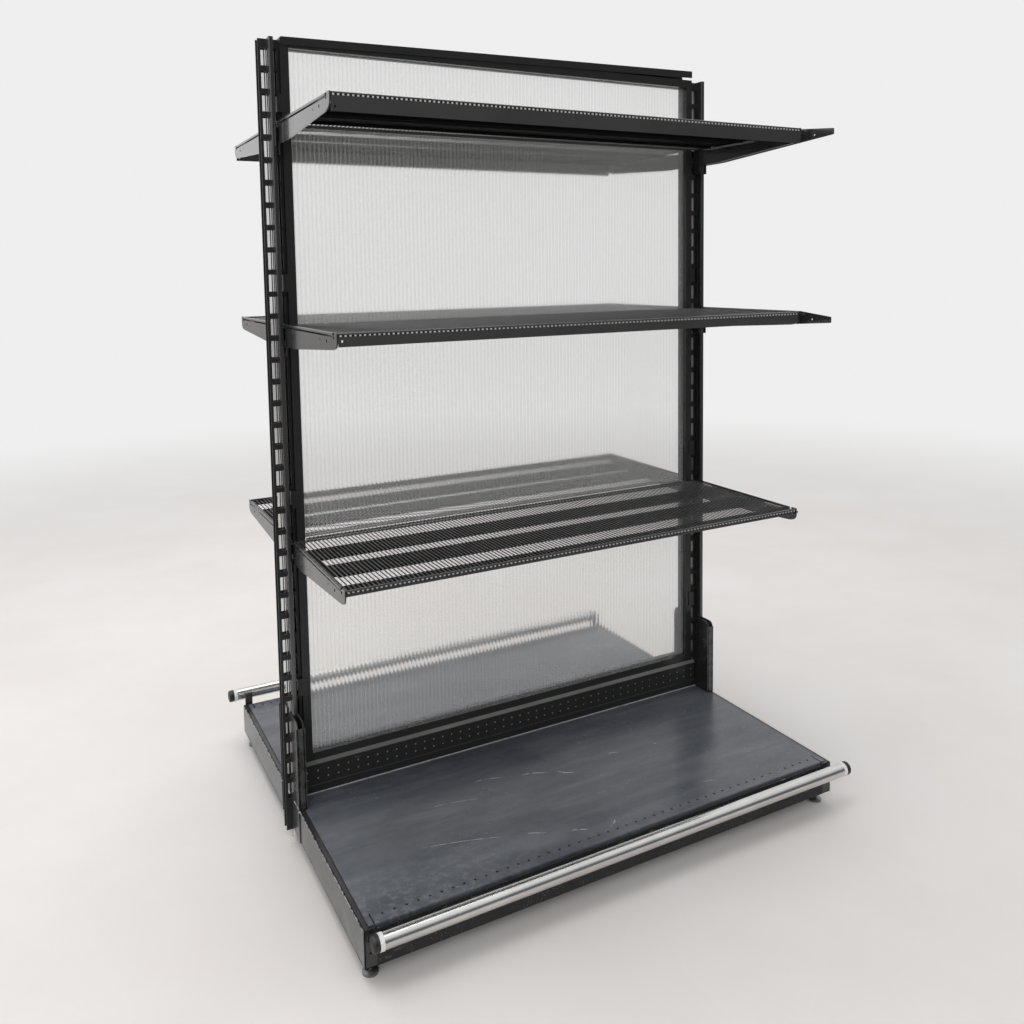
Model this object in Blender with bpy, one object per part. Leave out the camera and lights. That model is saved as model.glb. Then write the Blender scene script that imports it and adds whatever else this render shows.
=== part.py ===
# Double-sided gondola shelving: two slotted uprights, a framed twin-wall back panel,
# three wire shelves and a steel base deck on each side. Metres, +Z up, front faces -Y.
import bpy
import bmesh
from math import cos, sin, pi, radians
from mathutils import Matrix, Vector

# Overall
BAY = 1.205             # upright centre to upright centre
POST_TOP = 1.865        # top of the uprights above the floor
CLEAR = 0.0003          # gap between pieces that rest on or beside each other
SHEET = 0.0025          # common sheet thickness
FUSE = 0.0005           # overlap of shapes fused into one piece
CUT = 0.010             # cutters run this far past the sheet they cut

# Uprights
POST_FOOT = 0.030       # underside of the uprights above the floor
FIN_T = 0.010           # thickness of the central web
FIN_Y = 0.039           # half depth of the central web
POST_HALF = 0.0235      # half width across the slotted strips
STRIP_Y = 0.0075        # mid plane of each slotted strip from the centre plane
SLOT_PITCH = 0.050
SLOT_H = 0.038
SLOT_W = 0.011
SLOT_IN = 0.0060        # slot edge nearest the web, from the upright centre
SLOT_TOP = 0.020        # first slot below the top
SLOT_COUNT = 31

# Back panel and its frame
STILE_W = 0.019
FRAME_Y = 0.0195        # half depth of the frame
RAIL_H = 0.021
FRAME_OVER = 0.004      # frame top above the uprights
PANEL_T = 0.010
GROOVE = 0.008
FRAME_BOTTOM = 0.187
CLIP_H = 0.041
CLIP_ON_STILE = 0.009   # clip plate width over the stile
CLIP_ON_STRIP = 0.011   # and over the slotted strip
CLIP_SLOTS = (2, 10, 20, 29)

# Top cap, lying a little raised at its right end
CAP_HALF_Y = 0.0225
CAP_H = 0.018
CAP_WALL = 0.002
CAP_RISE = 0.022
CAP_END = 0.0015        # cap end to the slotted strip

# Shelves
SHELF_SLOTS = (3, 12, 22)       # slot that carries the upper hook, from the top
SEAT_DROP = 0.027               # shelf top above the hook seat
SHELF_REACH = 0.410             # shelf front from the strip face
BRACKET_T = 0.003
BRACKET_IN = 0.0085             # bracket outer face from the upright centre
BRACKET_REAR_H = 0.052
BRACKET_FRONT_H = 0.033
HEEL_H = 0.075
HEEL_D = 0.032
HOOK_DROP = 0.010
HOOK_T = 0.0035
HOOK_H = 0.018
LUG_LOW = 0.008                 # lower lug above its slot edge
LUG_H = 0.014
TIP_RUN = 0.100                 # length of the arm top that may slope to the tip
TIP_BLUNT = 0.012               # upright part of the arm front
TIP_CHAMFER = 0.026             # run of the slanted front underside
BELLY = 0.100                   # where the underside bends, from the strip face
LEDGE_START = 0.060
LEDGE_STOP = 0.045              # ledge end behind the arm front
LEDGE_W = 0.015
WIRE_T = 0.004                  # deck wire layer
WIRE_PITCH = 0.0285
WIRE_W = 0.007
DECK_DROP = 0.0005              # wire tops below the bracket top edge
DECK_REAR = 0.0145              # deck rear edge from the strip face
LIP_T = 0.004
LIP_H = (0.030, 0.027, 0.014)   # front lip of top, middle and low shelf
BAND_T = 0.003
BAND_W = 0.073
BAND_AT = (0.100, 0.227)        # rear edges of the two bands under the wires
BAND_END = 0.015                # width of the bars that join the bands
BAND_SIDE = 0.0012              # end bar to arm
DECK_BORDER = 0.010             # solid border at the deck ends
DECK_REAR_BAR = 0.018
DECK_FRONT_BAR = 0.014

# Spare arms left on the outer slots of the right upright
SPARE_REACH = 0.495
SPARE_TIP_TOP = 0.011
SPARE_TIP_H = 0.015
SPARE_BLUNT = 0.006
SPARE_CHAMFER = 0.012

# Base
BASE_FRONT = 0.5245     # side plate front from the centre plane
BASE_LOW = 0.032        # side plate underside above the floor
BASE_TOP = 0.1085       # side plate top
ARM_TOP = 0.319
ARM_REACH = 0.040       # arm front beyond the upright web
ARM_WALL = 0.003
ARM_FLANGE = 0.011      # half width of the arm front flange
ARM_CHAMFER = 0.014
FLANGE_IN = 0.026       # side plate flanges turned inward, from the plate's outer face
ARM_REAR = 0.0008       # arm to the slotted strip
SADDLE_W = 0.020
SADDLE_H = 0.016
DECK_T = 0.0025
DECK_INSET = 0.0125     # deck ends inside the upright centres
DECK_FRONT = 0.517
DECK_LIP = 0.020
LIP_SHORT = 0.035       # lip ends short of the deck ends
PLINTH_Y = 0.0215       # plinth rear face
PLINTH_SHORT = 0.002    # plinth ends inside the deck ends
PLINTH_UP = 0.001       # plinth top above the frame bottom
KICK_DROP = 0.002       # kick plate top below the side plate top
TUBE_R = 0.016
TUBE_WALL = 0.0015
TUBE_OVER = 0.018       # tube length beyond the bay
TUBE_SHIFT = 0.0220     # tube middle from the bay middle, to the right seen from its own side
TUBE_Z = {"front": 0.093, "rear": 0.134}        # the rear tube stands on raised brackets
TUBE_GAP = 0.004        # tube back to side plate front
END_CAP = 0.014
PLUG = 0.020
FOOT_R = 0.016
FOOT_IN = 0.0126        # corner foot centre inside the upright centre
FOOT_H = 0.008
STEM_R = 0.005
FOOT_BACK = 0.030       # corner foot centre behind the side plate front
SIDES = 24

POST_X = BAY / 2
DECK_HALF = POST_X - DECK_INSET
PLINTH_HALF = DECK_HALF - PLINTH_SHORT
TUBE_LEN = BAY + TUBE_OVER
STRIP_FACE = STRIP_Y + SHEET / 2
STRIP_BACK = STRIP_Y - SHEET / 2
STILE_OUT = POST_X - POST_HALF - CLEAR
STILE_INNER = STILE_OUT - STILE_W
FRAME_TOP = POST_TOP + FRAME_OVER
SLOT_BASE = POST_TOP - SLOT_TOP - SLOT_H

for old in list(bpy.data.objects):
    bpy.data.objects.remove(old, do_unlink=True)


def add_box(bm, x0, x1, y0, y1, z0, z1):
    # Axis-aligned box between two corners
    c = [bm.verts.new((x, y, z)) for x in (x0, x1) for y in (y0, y1) for z in (z0, z1)]
    for f in ((0, 1, 3, 2), (4, 6, 7, 5), (0, 4, 5, 1), (2, 3, 7, 6), (0, 2, 6, 4), (1, 5, 7, 3)):
        bm.faces.new([c[i] for i in f])


def add_prism(bm, outline, place):
    # Extrude a closed outline of (u, v) points; place(u, v, k) gives the two ends k=0 and k=1
    ends = [[bm.verts.new(place(u, v, k)) for u, v in outline] for k in (0, 1)]
    n = len(outline)
    bm.faces.new(ends[0][::-1])
    bm.faces.new(ends[1])
    for i in range(n):
        j = (i + 1) % n
        bm.faces.new((ends[0][i], ends[0][j], ends[1][j], ends[1][i]))


def add_lathe(bm, profile, matrix):
    # Turn a closed (radius, height) profile about Z; points at radius 0 become poles
    rings = []
    for r, h in profile:
        if r == 0:
            rings.append([bm.verts.new(matrix @ Vector((0, 0, h)))])
        else:
            turns = [2 * pi * i / SIDES for i in range(SIDES)]
            rings.append([bm.verts.new(matrix @ Vector((r * cos(a), r * sin(a), h))) for a in turns])
    for a, b in zip(rings, rings[1:] + rings[:1]):
        if len(a) == 1 and len(b) == 1:
            continue
        for i in range(SIDES):
            j = (i + 1) % SIDES
            if len(a) == 1:
                bm.faces.new((a[0], b[j], b[i]))
            elif len(b) == 1:
                bm.faces.new((a[i], a[j], b[0]))
            else:
                bm.faces.new((a[i], a[j], b[j], b[i]))


def mesh_of(bm, name):
    bmesh.ops.recalc_face_normals(bm, faces=bm.faces)
    mesh = bpy.data.meshes.new(name)
    bm.to_mesh(mesh)
    bm.free()
    return mesh


def build(adder, name):
    bm = bmesh.new()
    adder(bm)
    return mesh_of(bm, name)


def paint(obj, colour, rough, metal=0.0):
    mat = bpy.data.materials.new(obj.name)
    mat.use_nodes = True
    shader = mat.node_tree.nodes["Principled BSDF"]
    shader.inputs["Base Color"].default_value = (*colour, 1)
    shader.inputs["Roughness"].default_value = rough
    shader.inputs["Metallic"].default_value = metal
    obj.data.materials.clear()
    obj.data.materials.append(mat)


def combine(first, others, operation):
    # Boolean of one mesh with a list of meshes, returned as a new mesh
    obj = bpy.data.objects.new("work", first)
    bpy.context.collection.objects.link(obj)
    helpers = []
    for mesh in others:
        helper = bpy.data.objects.new("cutter", mesh)
        bpy.context.collection.objects.link(helper)
        helper.hide_render = True
        helper.display_type = "WIRE"
        mod = obj.modifiers.new("Boolean", "BOOLEAN")
        mod.operation = operation
        mod.solver = "EXACT"
        mod.object = helper
        helpers.append(helper)
    bpy.context.view_layer.update()
    graph = bpy.context.evaluated_depsgraph_get()
    result = bpy.data.meshes.new_from_object(obj.evaluated_get(graph))
    for helper in helpers + [obj]:
        bpy.data.objects.remove(helper, do_unlink=True)
    return result


def node(name, shapes, cuts, colour, rough, metal=0.0):
    # One finished piece: the shapes fused, then the cuts taken away; its origin is the middle of its underside
    meshes = [build(s, name) for s in shapes]
    mesh = meshes[0] if len(meshes) == 1 else combine(meshes[0], meshes[1:], "UNION")
    if cuts:
        mesh = combine(mesh, [build(c, "cut") for c in cuts], "DIFFERENCE")
    low = Vector([min(v.co[i] for v in mesh.vertices) for i in range(3)])
    high = Vector([max(v.co[i] for v in mesh.vertices) for i in range(3)])
    origin = Vector(((low.x + high.x) / 2, (low.y + high.y) / 2, low.z))
    mesh.transform(Matrix.Translation(-origin))
    obj = bpy.data.objects.new(name, mesh)
    obj.location = origin
    bpy.context.collection.objects.link(obj)
    paint(obj, colour, rough, metal)
    return obj


BLACK = (0.018, 0.018, 0.019)
DECK_COLOUR = (0.045, 0.048, 0.055)
STEEL = (0.62, 0.62, 0.61)
PLASTIC = (0.02, 0.02, 0.02)
CLEAR_SHEET = (0.75, 0.77, 0.76)
PAD = (0.75, 0.75, 0.72)


def slot_bottom(k):
    return SLOT_BASE - SLOT_PITCH * k


# Uprights: a central web with a slotted strip front and back
def upright(name, x):
    def web(bm):
        add_box(bm, x - FIN_T / 2, x + FIN_T / 2, -FIN_Y, FIN_Y, POST_FOOT, POST_TOP)

    def strip(s):
        def add(bm):
            add_box(bm, x - POST_HALF, x + POST_HALF, s * STRIP_Y - SHEET / 2, s * STRIP_Y + SHEET / 2,
                    POST_FOOT, POST_TOP)
        return add

    def slots(bm):
        for k in range(SLOT_COUNT):
            for s in (-1, 1):
                a, b = sorted((x + s * SLOT_IN, x + s * (SLOT_IN + SLOT_W)))
                add_box(bm, a, b, -STRIP_FACE - CUT, STRIP_FACE + CUT, slot_bottom(k), slot_bottom(k) + SLOT_H)

    node(name, [web, strip(-1), strip(1)], [slots], BLACK, 0.35)


upright("upright_left", -POST_X)
upright("upright_right", POST_X)


# Frame stiles: grooved for the panel, with clips that reach over the slotted strips
def stile(name, s):
    inner = STILE_INNER
    groove = PANEL_T / 2 + CLEAR
    outline = [(inner, -FRAME_Y), (STILE_OUT, -FRAME_Y), (STILE_OUT, FRAME_Y), (inner, FRAME_Y),
               (inner, groove), (inner + GROOVE, groove), (inner + GROOVE, -groove), (inner, -groove)]

    def body(bm):
        add_prism(bm, outline, lambda u, v, k: (s * u, v, (FRAME_BOTTOM, FRAME_TOP)[k]))

    def clip(k, side):
        def add(bm):
            mid = slot_bottom(k) + SLOT_H / 2
            low = STRIP_FACE + CLEAR
            over = [(STILE_OUT - CLIP_ON_STILE, FRAME_Y - FUSE), (STILE_OUT - FUSE, FRAME_Y - FUSE),
                    (STILE_OUT - FUSE, low), (STILE_OUT + CLIP_ON_STRIP, low),
                    (STILE_OUT + CLIP_ON_STRIP, FRAME_Y + SHEET), (STILE_OUT - CLIP_ON_STILE, FRAME_Y + SHEET)]
            add_prism(bm, over, lambda u, v, e: (s * u, side * v, mid + (e - 0.5) * CLIP_H))
        return add

    clips = [clip(k, side) for k in CLIP_SLOTS for side in (-1, 1)]
    node(name, [body] + clips, [], BLACK, 0.4)


stile("stile_left", -1)
stile("stile_right", 1)


def rail(name, z0, z1, up):
    half = STILE_INNER - CLEAR
    groove = PANEL_T / 2 + CLEAR
    g0, g1 = (z1 - GROOVE, z1) if up else (z0 + GROOVE, z0)
    flat = z0 if up else z1
    outline = [(-FRAME_Y, flat), (FRAME_Y, flat), (FRAME_Y, g1), (groove, g1), (groove, g0),
               (-groove, g0), (-groove, g1), (-FRAME_Y, g1)]

    def body(bm):
        add_prism(bm, outline, lambda u, v, k: ((-half, half)[k], u, v))

    node(name, [body], [], BLACK, 0.4)


rail("rail_bottom", FRAME_BOTTOM, FRAME_BOTTOM + RAIL_H, True)
rail("rail_top", FRAME_TOP - RAIL_H, FRAME_TOP, False)


def panel(bm):
    half = STILE_INNER + GROOVE - CLEAR
    low = FRAME_BOTTOM + RAIL_H - GROOVE + CLEAR
    high = FRAME_TOP - RAIL_H + GROOVE - CLEAR
    add_box(bm, -half, half, -PANEL_T / 2, PANEL_T / 2, low, high)


node("back_panel", [panel], [], CLEAR_SHEET, 0.2)


# Top cap: a U-shaped cover over the top rail, seated at the left and raised at the right
def cap(bm):
    half = STILE_OUT - CAP_END
    z0 = FRAME_TOP + CLEAR + CAP_WALL
    low = z0 - CAP_H
    w = CAP_HALF_Y
    t = CAP_WALL
    outline = [(-w, low), (-w + t, low), (-w + t, z0 - t), (w - t, z0 - t), (w - t, low), (w, low),
               (w, z0), (-w, z0)]
    add_prism(bm, outline, lambda u, v, k: ((-half, half)[k], u, v + CAP_RISE * k))


node("top_cap", [cap], [], BLACK, 0.35)


# Shelf arms: tapered plates hooked into the slots, with a ledge under the deck
def bracket(name, s, front, k, inward, reach, tip, ledge):
    tip_top, tip_h, blunt, chamfer = tip
    top = slot_bottom(k) + SEAT_DROP
    seat = -SEAT_DROP + CLEAR
    lug = seat - SLOT_PITCH + LUG_LOW
    behind = -SHEET - CLEAR
    hook_back = behind - HOOK_T
    outline = [(CLEAR, 0), (reach - TIP_RUN, 0), (reach, -tip_top), (reach, -tip_top - blunt),
               (reach - chamfer, -tip_top - tip_h), (BELLY, -BRACKET_REAR_H), (HEEL_D, -BRACKET_REAR_H),
               (HEEL_D, -HEEL_H), (CLEAR, -HEEL_H), (CLEAR, lug), (hook_back, lug), (hook_back, lug + LUG_H),
               (CLEAR, lug + LUG_H), (CLEAR, seat), (behind, seat), (behind, seat - HOOK_DROP),
               (hook_back, seat - HOOK_DROP), (hook_back, seat + HOOK_H), (CLEAR, seat + HOOK_H)]
    x0 = s * (POST_X - inward * BRACKET_IN)
    x1 = s * (POST_X - inward * (BRACKET_IN + BRACKET_T))

    def plate(bm):
        add_prism(bm, outline, lambda u, v, e: ((x0, x1)[e], front * (STRIP_FACE + u), top + v))

    shapes = [plate]
    if ledge:
        ledge_top = -DECK_DROP - WIRE_T - CLEAR - BAND_T - CLEAR

        def shelf_ledge(bm):
            a, b = sorted((s * (POST_X - BRACKET_IN - BRACKET_T + FUSE), s * (POST_X - BRACKET_IN - LEDGE_W)))
            c, d = sorted((front * (STRIP_FACE + LEDGE_START), front * (STRIP_FACE + reach - LEDGE_STOP)))
            add_box(bm, a, b, c, d, top + ledge_top - SHEET, top + ledge_top)
        shapes.append(shelf_ledge)
    node(name, shapes, [], BLACK, 0.3)


# Wire deck: wires front to back between border bars, with a turned-down front lip
def deck(name, front, k, lip):
    top = slot_bottom(k) + SEAT_DROP - DECK_DROP
    half = POST_X - BRACKET_IN - BRACKET_T - CLEAR
    inside = 2 * (half - DECK_BORDER)
    count = round((inside + WIRE_W) / WIRE_PITCH)
    gap = (inside - (count - 1) * WIRE_W) / count

    def y_span(a, b):
        return sorted((front * (STRIP_FACE + a), front * (STRIP_FACE + b)))

    def body(bm):
        outline = [(DECK_REAR, -WIRE_T), (SHELF_REACH - LIP_T, -WIRE_T), (SHELF_REACH - LIP_T, -lip),
                   (SHELF_REACH, -lip), (SHELF_REACH, 0), (DECK_REAR, 0)]
        add_prism(bm, outline, lambda u, v, e: ((-half, half)[e], front * (STRIP_FACE + u), top + v))

    def gaps(bm):
        for i in range(count):
            x = -half + DECK_BORDER + i * (gap + WIRE_W)
            a, b = y_span(DECK_REAR + DECK_REAR_BAR, SHELF_REACH - DECK_FRONT_BAR)
            add_box(bm, x, x + gap, a, b, top - CUT, top + CUT)

    node(name, [body], [gaps], BLACK, 0.35)


# Two bands under the wires, joined by end bars that rest on the arm ledges
def bands(name, front, k):
    top = slot_bottom(k) + SEAT_DROP - DECK_DROP - WIRE_T - CLEAR
    half = POST_X - BRACKET_IN - BRACKET_T - BAND_SIDE
    r0 = STRIP_FACE + BAND_AT[0]
    r1 = STRIP_FACE + BAND_AT[1] + BAND_W

    def body(bm):
        a, b = sorted((front * r0, front * r1))
        add_box(bm, -half, half, a, b, top - BAND_T, top)

    def opening(bm):
        a, b = sorted((front * (r0 + BAND_W), front * (r1 - BAND_W)))
        add_box(bm, -half + BAND_END, half - BAND_END, a, b, top - CUT, top + CUT)

    node(name, [body], [opening], BLACK, 0.4)


LEVELS = ("top", "middle", "low")
SHELF_TIP = (0, BRACKET_FRONT_H, TIP_BLUNT, TIP_CHAMFER)
SPARE_TIP = (SPARE_TIP_TOP, SPARE_TIP_H, SPARE_BLUNT, SPARE_CHAMFER)
for side, front in (("front", -1), ("rear", 1)):
    for level, k, lip in zip(LEVELS, SHELF_SLOTS, LIP_H):
        for hand, s in (("left", -1), ("right", 1)):
            bracket(f"arm_{side}_{level}_{hand}", s, front, k, 1, SHELF_REACH, SHELF_TIP, True)
        deck(f"deck_{side}_{level}", front, k, lip)
        bands(f"bands_{side}_{level}", front, k)

for level, k in zip(LEVELS[:2], SHELF_SLOTS):
    bracket(f"spare_arm_{level}", 1, -1, k, -1, SPARE_REACH, SPARE_TIP, False)


# Base feet: a side plate with flanges and an arm that straddles the upright web
def base_foot(name, s, front, tube_z):
    wall_in = FIN_T / 2 + CLEAR
    wall_out = wall_in + ARM_WALL
    rear = STRIP_FACE + ARM_REAR
    arm_front = FIN_Y + ARM_REACH
    outer0 = s * (POST_X + wall_in)
    outer1 = s * (POST_X + wall_out)

    def yz(u):
        return front * u

    side_outline = [(rear, BASE_LOW), (BASE_FRONT, BASE_LOW), (BASE_FRONT, BASE_TOP), (arm_front, BASE_TOP),
                    (arm_front, ARM_TOP - ARM_CHAMFER), (arm_front - ARM_CHAMFER, ARM_TOP), (rear, ARM_TOP)]
    inner_outline = [(rear, BASE_LOW), (arm_front, BASE_LOW), (arm_front, ARM_TOP - ARM_CHAMFER),
                     (arm_front - ARM_CHAMFER, ARM_TOP), (rear, ARM_TOP)]

    def outer_plate(bm):
        add_prism(bm, side_outline, lambda u, v, e: ((outer0, outer1)[e], yz(u), v))

    def inner_plate(bm):
        i0 = s * (POST_X - wall_in)
        i1 = s * (POST_X - wall_out)
        add_prism(bm, inner_outline, lambda u, v, e: ((i0, i1)[e], yz(u), v))

    def span(bm, u0, u1, y0, y1, z0, z1):
        a, b = sorted((s * u0, s * u1))
        c, d = sorted((yz(y0), yz(y1)))
        add_box(bm, a, b, c, d, z0, z1)

    def arm_flange(bm):
        span(bm, POST_X - ARM_FLANGE, POST_X + ARM_FLANGE, arm_front - ARM_WALL, arm_front,
             BASE_LOW, ARM_TOP - ARM_CHAMFER)

    edge = POST_X + wall_out
    inside = edge - FLANGE_IN

    def top_flange(bm):
        span(bm, edge - FUSE, inside, arm_front - FUSE, BASE_FRONT, BASE_TOP - SHEET, BASE_TOP)

    def low_flange(bm):
        span(bm, edge - FUSE, inside, arm_front - FUSE, BASE_FRONT, BASE_LOW, BASE_LOW + SHEET)

    def end_flange(bm):
        span(bm, edge - FUSE, inside, BASE_FRONT - SHEET, BASE_FRONT, BASE_LOW, BASE_TOP)

    def saddle(bm):
        # Reaches from the end flange, below its top, to the middle of the tube
        span(bm, inside, inside + SADDLE_W, BASE_FRONT - FUSE, BASE_FRONT + TUBE_GAP - CLEAR,
             min(tube_z, BASE_TOP - SADDLE_H) - SADDLE_H / 2, tube_z + SADDLE_H / 2)

    plates = [outer_plate, inner_plate, arm_flange, top_flange, low_flange, end_flange]
    node(name, plates + [saddle], [], BLACK, 0.35)


def base_deck(name, front):
    z0 = BASE_TOP + CLEAR
    z1 = z0 + DECK_T
    rear = PLINTH_Y + SHEET + CLEAR
    back = DECK_FRONT - DECK_T
    low = z1 - DECK_LIP
    outline = [(rear, z0), (back, z0), (back, low), (DECK_FRONT, low), (DECK_FRONT, z1), (rear, z1)]

    def body(bm):
        add_prism(bm, outline, lambda u, v, e: ((-DECK_HALF, DECK_HALF)[e], front * u, v))

    def corners(bm):
        # The lip stops short of the side plates
        for s in (-1, 1):
            a, b = sorted((s * (DECK_HALF - LIP_SHORT), s * (DECK_HALF + CUT)))
            c, d = sorted((front * (back - FUSE), front * (DECK_FRONT + CUT)))
            add_box(bm, a, b, c, d, low - CUT, z0)

    node(name, [body], [corners], DECK_COLOUR, 0.4)


def plinth(name, front):
    z0 = BASE_TOP + DECK_T - CLEAR
    z1 = FRAME_BOTTOM + PLINTH_UP
    outline = [(PLINTH_Y, z0), (PLINTH_Y + SHEET, z0), (PLINTH_Y + SHEET, z1), (PLINTH_Y, z1)]

    def body(bm):
        add_prism(bm, outline, lambda u, v, e: ((-PLINTH_HALF, PLINTH_HALF)[e], front * u, v))

    node(name, [body], [], BLACK, 0.4)


def kick(name, front):
    half = POST_X + FIN_T / 2 + ARM_WALL - FLANGE_IN
    a, b = sorted((front * (BASE_FRONT - SHEET), front * BASE_FRONT))

    def body(bm):
        add_box(bm, -half, half, a, b, BASE_LOW, BASE_TOP - KICK_DROP)

    node(name, [body], [], BLACK, 0.4)


def bumper(side, front):
    # The tube runs along X; each end takes a stepped plastic cap
    y = front * (BASE_FRONT + TUBE_GAP + TUBE_R)
    z = TUBE_Z[side]
    mid = -front * TUBE_SHIFT
    turn = Matrix.Rotation(radians(90), 4, "Y")
    inner = TUBE_R - TUBE_WALL

    def tube(bm):
        m = Matrix.Translation((mid - TUBE_LEN / 2, y, z)) @ turn
        add_lathe(bm, [(TUBE_R, 0), (TUBE_R, TUBE_LEN), (inner, TUBE_LEN), (inner, 0)], m)

    node(f"bumper_{side}", [tube], [], STEEL, 0.2, 1.0)
    for hand, s in (("left", -1), ("right", 1)):
        def end(bm):
            m = Matrix.Translation((mid + s * TUBE_LEN / 2, y, z)) @ turn @ Matrix.Diagonal((1, 1, s, 1))
            plug = inner - CLEAR
            add_lathe(bm, [(0, -PLUG), (plug, -PLUG), (plug, CLEAR), (TUBE_R, CLEAR), (TUBE_R, END_CAP * 0.8),
                           (TUBE_R * 0.85, END_CAP), (0, END_CAP)], m)
        node(f"bumper_cap_{side}_{hand}", [end], [], PLASTIC, 0.5)


def level_foot(name, x, y, top, colour):
    def body(bm):
        add_lathe(bm, [(0, 0), (FOOT_R, 0), (FOOT_R, FOOT_H * 0.6), (FOOT_R * 0.6, FOOT_H), (STEM_R, FOOT_H),
                       (STEM_R, top - CLEAR), (0, top - CLEAR)], Matrix.Translation((x, y, 0)))
    node(name, [body], [], colour, 0.5)


for side, front in (("front", -1), ("rear", 1)):
    for hand, s in (("left", -1), ("right", 1)):
        base_foot(f"base_foot_{side}_{hand}", s, front, TUBE_Z[side])
        level_foot(f"leveller_{side}_{hand}", s * (POST_X - FOOT_IN),
                   front * (BASE_FRONT - FOOT_BACK), BASE_LOW, STEEL)
    base_deck(f"base_deck_{side}", front)
    plinth(f"plinth_{side}", front)
    kick(f"kick_{side}", front)
    bumper(side, front)
for hand, s in (("left", -1), ("right", 1)):
    level_foot(f"leveller_post_{hand}", s * POST_X, 0, POST_FOOT, PAD)
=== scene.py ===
import math

import bmesh
import bpy
import numpy as np
from mathutils import Matrix, Vector
from mathutils.geometry import tessellate_polygon


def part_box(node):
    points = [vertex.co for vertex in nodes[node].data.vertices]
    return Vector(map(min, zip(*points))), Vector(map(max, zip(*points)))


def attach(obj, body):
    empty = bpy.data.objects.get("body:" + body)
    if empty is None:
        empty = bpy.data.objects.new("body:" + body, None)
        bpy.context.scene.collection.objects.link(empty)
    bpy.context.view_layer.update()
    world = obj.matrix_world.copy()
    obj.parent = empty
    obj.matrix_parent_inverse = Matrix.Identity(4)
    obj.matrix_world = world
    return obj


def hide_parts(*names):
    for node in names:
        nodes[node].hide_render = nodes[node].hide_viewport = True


# Double-sided gondola shelving: metres, +X right, front faces -Y, +Z up
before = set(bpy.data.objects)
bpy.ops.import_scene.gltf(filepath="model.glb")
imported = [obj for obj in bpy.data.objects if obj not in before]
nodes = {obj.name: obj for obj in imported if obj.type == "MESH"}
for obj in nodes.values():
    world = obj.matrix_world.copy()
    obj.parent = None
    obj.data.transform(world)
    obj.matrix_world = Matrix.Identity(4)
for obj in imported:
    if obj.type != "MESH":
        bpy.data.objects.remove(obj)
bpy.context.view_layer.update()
print("frame loaded with", len(nodes), "nodes")

# Measures shared by several pieces
bay = {"postX": 0.6025, "stripFace": 0.00875, "deckRear": 0.0262,
       "shelfTop": {"top": 1.684, "middle": 1.234, "low": 0.734}}
fronts = {"front": -1, "rear": 1}
hands = {"left": -1, "right": 1}


# Shapes

def roundedBar(width, height, radius, steps=3):
    # Outline of a rectangle with quarter-circle corners: corner centre + radius * (cos a, sin a)
    turn = np.linspace(0, math.pi / 2, steps)
    corners = np.array([(1, 1), (-1, 1), (-1, -1), (1, -1)]) * (width / 2 - radius, height / 2 - radius)
    angles = turn[None, :] + np.arange(4)[:, None] * math.pi / 2
    ring = np.stack((np.cos(angles), np.sin(angles)), -1) * radius
    return (corners[:, None, :] + ring).reshape(-1, 2)


def circle(radius, sides):
    # Radius * (cos a, sin a) at equal steps of a
    angles = np.arange(sides) * 2 * math.pi / sides
    return np.stack((np.cos(angles), np.sin(angles)), -1) * radius


def carry(paths, outline, across):
    # A closed outline carried along k open paths: point + outline.x * across + outline.y * (along x across),
    # with the second part widened by 1 / cos(half the bend) so that the thickness holds round a corner
    paths = np.asarray(paths, float)
    k, n, _ = paths.shape
    m = len(outline)
    step = np.diff(paths, axis=1)
    step /= np.linalg.norm(step, axis=2, keepdims=True)
    before = np.concatenate((step[:, :1], step), 1)
    after = np.concatenate((step, step[:, -1:]), 1)
    along = before + after
    along /= np.linalg.norm(along, axis=2, keepdims=True)
    across = np.broadcast_to(np.asarray(across, float), along.shape)
    other = np.cross(along, across) / np.clip((along * after).sum(2, keepdims=True), 0.3, 1)
    points = paths[:, :, None] + outline[:, 0, None] * across[:, :, None]
    points = points + outline[:, 1, None] * other[:, :, None]
    index = np.arange(k * n * m).reshape(k, n, m)
    a, b = index[:, :-1], index[:, 1:]
    sides = np.stack((a, np.roll(a, -1, 2), np.roll(b, -1, 2), b), -1).reshape(-1, 4)
    ends = np.concatenate((index[:, 0, ::-1], index[:, -1]))
    return points.reshape(-1, 3), [sides, ends]


def bars(starts, ends, outline, across):
    # Straight bars: the outline carried from each start to its end
    return carry(np.stack((np.asarray(starts, float), np.asarray(ends, float)), 1), outline, across)


def turned(profile, centre, sides=40):
    # Profile of (distance along X, radius) turned about X: centre + (d, r cos a, r sin a); radius 0 closes an end
    profile = np.asarray(profile, float)
    angles = np.arange(sides) * 2 * math.pi / sides
    d = np.repeat(profile[:, :1], sides, 1)
    points = np.stack((d, profile[:, 1:] * np.cos(angles), profile[:, 1:] * np.sin(angles)), -1) + centre
    index = np.arange(points.shape[0] * sides).reshape(-1, sides)
    a, b = index[:-1], index[1:]
    faces = np.stack((a, b, np.roll(b, -1, 1), np.roll(a, -1, 1)), -1).reshape(-1, 4)
    return points.reshape(-1, 3), [faces]


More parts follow.
